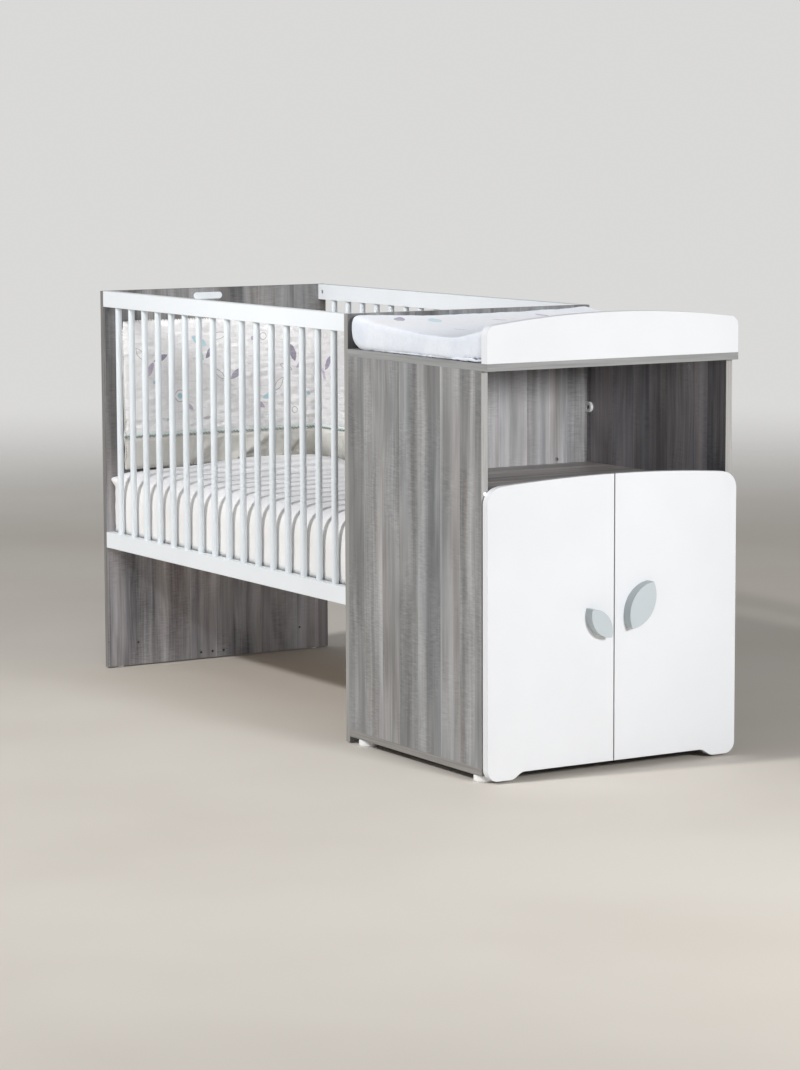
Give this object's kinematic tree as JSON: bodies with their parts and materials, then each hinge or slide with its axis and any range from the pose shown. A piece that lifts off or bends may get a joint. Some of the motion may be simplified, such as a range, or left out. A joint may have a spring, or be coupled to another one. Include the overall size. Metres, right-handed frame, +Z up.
{
  "type": "crib with attached changer cabinet",
  "caption": "Barred crib with mattress and bumpers, joined at its foot to a changer cabinet with an open niche, hinged doors with leaf handles and a padded changing mat.",
  "frame": {"origin": "bottom centre of the bounding box, on the floor", "axes": "+X along the length from the crib's head panel to the changer's doors, +Y across the width, towards the side with the side bumper, +Z up"},
  "size_m": [1.853, 0.656, 0.998],
  "materials": {
    "grey_oak_laminate": "matte grey wood-grain laminate",
    "white_lacquer": "white satin lacquer",
    "pale_grey_lacquer": "pale grey satin lacquer",
    "white_plastic": "matte",
    "bare_wood": "planed",
    "zinc_plated_steel": "zinc plated",
    "mattress_cover": "quilted cotton",
    "bumper_cover": "fine woven gauze",
    "terry_cover": "terry towelling"
  },
  "bodies": {
    "crib_and_cabinet": {"head_panel": "grey_oak_laminate", "foot_panel": "grey_oak_laminate", "front_top_rail": "white_lacquer", "front_bottom_rail": "white_lacquer", "rear_top_rail": "white_lacquer", "rear_bottom_rail": "white_lacquer", "front_bars": "white_lacquer", "rear_bars": "white_lacquer", "plain_plate": "white_plastic", "rail_studs": "zinc_plated_steel", "barrel_nuts": "zinc_plated_steel", "rail_dowels": "bare_wood", "base_side_bearers": "bare_wood", "base_end_bearers": "bare_wood", "base_slats": "bare_wood", "base_brackets": "zinc_plated_steel", "bracket_screws": "zinc_plated_steel", "mattress": "mattress_cover", "bumper_head": "bumper_cover", "bumper_side": "bumper_cover", "panel_glides": "white_plastic", "cabinet_side_left": "grey_oak_laminate", "cabinet_side_right": "grey_oak_laminate", "cabinet_bottom": "grey_oak_laminate", "cabinet_back": "grey_oak_laminate", "niche_shelf": "grey_oak_laminate", "inner_shelf": "grey_oak_laminate", "shelf_pins": "zinc_plated_steel", "top_board": "grey_oak_laminate", "upstand": "white_lacquer", "upstand_screws": "zinc_plated_steel", "cabinet_glides": "white_plastic", "glide_screws": "zinc_plated_steel", "bottom_screws": "zinc_plated_steel", "cam_locks": "zinc_plated_steel", "cam_bolts": "zinc_plated_steel", "corner_connectors": "white_plastic", "connector_screws": "zinc_plated_steel", "link_screws": "zinc_plated_steel", "hinge_arms": "zinc_plated_steel", "hinge_plates": "zinc_plated_steel", "plate_fixing_screws": "zinc_plated_steel", "door_pads": "white_plastic"},
    "left_door": {"door_left": "white_lacquer", "handle_left": "pale_grey_lacquer", "handle_screws_left": "zinc_plated_steel", "hinge_cups_left": "zinc_plated_steel", "cup_screws_left": "zinc_plated_steel"},
    "right_door": {"door_right": "white_lacquer", "handle_right": "pale_grey_lacquer", "handle_screws_right": "zinc_plated_steel", "hinge_cups_right": "zinc_plated_steel", "cup_screws_right": "zinc_plated_steel"},
    "mat": {"changing_mat": "terry_cover"}
  },
  "joints": [
    {"name": "left_door_hinge", "type": "hinge", "parent": "crib_and_cabinet", "child": "left_door", "pos_m": [0.8835, -0.3265, 0.32], "axis": [0, 0, -1], "range_deg": [0, 105]},
    {"name": "right_door_hinge", "type": "hinge", "parent": "crib_and_cabinet", "child": "right_door", "pos_m": [0.8835, 0.3265, 0.32], "axis": [0, 0, 1], "range_deg": [0, 105]},
    {"name": "mat_lift", "type": "slide", "parent": "crib_and_cabinet", "child": "mat", "axis": [0, 0, 1], "range_m": [0, 0.12]}
  ]
}
